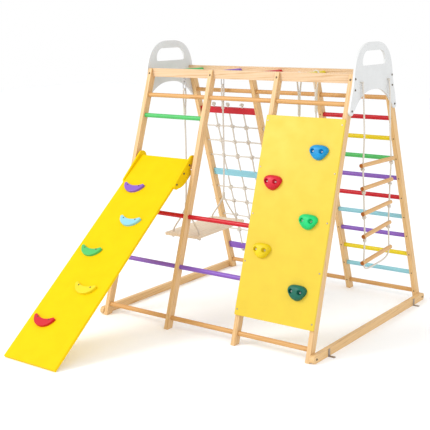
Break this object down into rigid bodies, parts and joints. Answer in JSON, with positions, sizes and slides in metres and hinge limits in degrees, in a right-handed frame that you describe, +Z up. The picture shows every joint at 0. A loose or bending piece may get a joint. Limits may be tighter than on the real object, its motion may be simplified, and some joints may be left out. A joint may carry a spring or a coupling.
{
  "type": "climbing gym with slide",
  "caption": "Wooden indoor A-frame climbing gym for young children with a lean-on slide, swing, rope ladder, gym rings, rope net, climbing wall and overhead bars.",
  "frame": {"origin": "on the floor under the centre of the whole object's outer box, slide included", "axes": "+Z up, +X along the row of legs towards the rope ladder's end plate, -Y towards the slide's foot"},
  "size_m": [1.442, 2.0679, 1.516],
  "materials": {
    "blue": "moulded blue",
    "cyan": "gloss cyan",
    "green": "gloss green",
    "hold_dark_green": "moulded dark green",
    "hold_green": "moulded bright green",
    "hold_red": "moulded red",
    "hold_yellow": "moulded yellow",
    "purple": "gloss purple",
    "red": "gloss red",
    "rope": "twisted off-white rope",
    "steel": "zinc-plated",
    "white_board": "satin white paint on board",
    "wood": "satin clear-coated pine",
    "yellow": "gloss yellow",
    "yellow_board": "satin yellow paint on board"
  },
  "bodies": {
    "frame": {"leg_front_1": "wood", "leg_front_2": "wood", "leg_front_3": "wood", "leg_front_4": "wood", "leg_rear_1": "wood", "leg_rear_2": "wood", "leg_rear_3": "wood", "leg_rear_4": "wood", "top_beam_front": "wood", "top_beam_rear": "wood", "monkey_bar_1": "green", "monkey_bar_2": "purple", "monkey_bar_3": "red", "monkey_bar_4": "yellow", "monkey_bar_5": "cyan", "rungs_bottom": "wood", "rungs_top": "wood", "rung_front_purple": "purple", "rung_front_red": "red", "rung_front_slide": "wood", "rung_front_green": "green", "ladder_rungs_cyan": "cyan", "ladder_rungs_green": "green", "ladder_rungs_purple": "purple", "ladder_rungs_red": "red", "ladder_rungs_yellow": "yellow", "net_plank_top": "red", "net_plank_middle": "cyan", "net_plank_bottom": "purple", "base_rail_left": "wood", "base_rail_right": "wood", "end_plate_left": "white_board", "end_plate_right": "white_board", "climbing_wall": "yellow_board", "climbing_hold_1": "hold_dark_green", "climbing_hold_2": "hold_yellow", "climbing_hold_3": "hold_green", "climbing_hold_4": "hold_red", "climbing_hold_5": "blue", "climbing_net": "rope", "rope_ladder_anchors": "rope", "swing_eye_bolts": "steel", "frame_bolts": "steel", "wall_screws": "steel", "floor_brackets": "steel"},
    "slide": {"slide_board": "yellow_board", "slide_wing_left": "yellow_board", "slide_wing_right": "yellow_board", "slide_grips": "red", "slide_screws": "steel"},
    "swing": {"swing_seat": "wood", "swing_links": "steel", "swing_rope_front": "rope", "swing_rope_rear": "rope"},
    "rope_ladder": {"rope_ladder_rungs": "wood", "rope_ladder_rope": "rope"},
    "gym_ring_front_set": {"gym_ring_front": "wood", "gym_ring_rope_front": "rope"},
    "gym_ring_rear_set": {"gym_ring_rear": "wood", "gym_ring_rope_rear": "rope"}
  },
  "joints": [
    {"name": "slide_tilt", "type": "hinge", "parent": "frame", "child": "slide", "pos_m": [-0.433, 0.03686, 0.83428], "axis": [-1, 0, 0], "range_deg": [0, 30]},
    {"name": "swing_pivot", "type": "hinge", "parent": "frame", "child": "swing", "pos_m": [-0.416, 0.39096, 1.285], "axis": [0, 1, 0], "range_deg": [-25, 25]},
    {"name": "rope_ladder_pivot", "type": "hinge", "parent": "frame", "child": "rope_ladder", "pos_m": [0.684, 0.39096, 1.314], "axis": [0, -1, 0], "range_deg": [0, 35]},
    {"name": "gym_ring_front_pivot", "type": "hinge", "parent": "frame", "child": "gym_ring_front_set", "pos_m": [0.28, 0.30096, 1.336], "axis": [0, 1, 0], "range_deg": [-30, 30]},
    {"name": "gym_ring_rear_pivot", "type": "hinge", "parent": "frame", "child": "gym_ring_rear_set", "pos_m": [0.28, 0.48096, 1.336], "axis": [0, 1, 0], "range_deg": [-30, 30]}
  ]
}
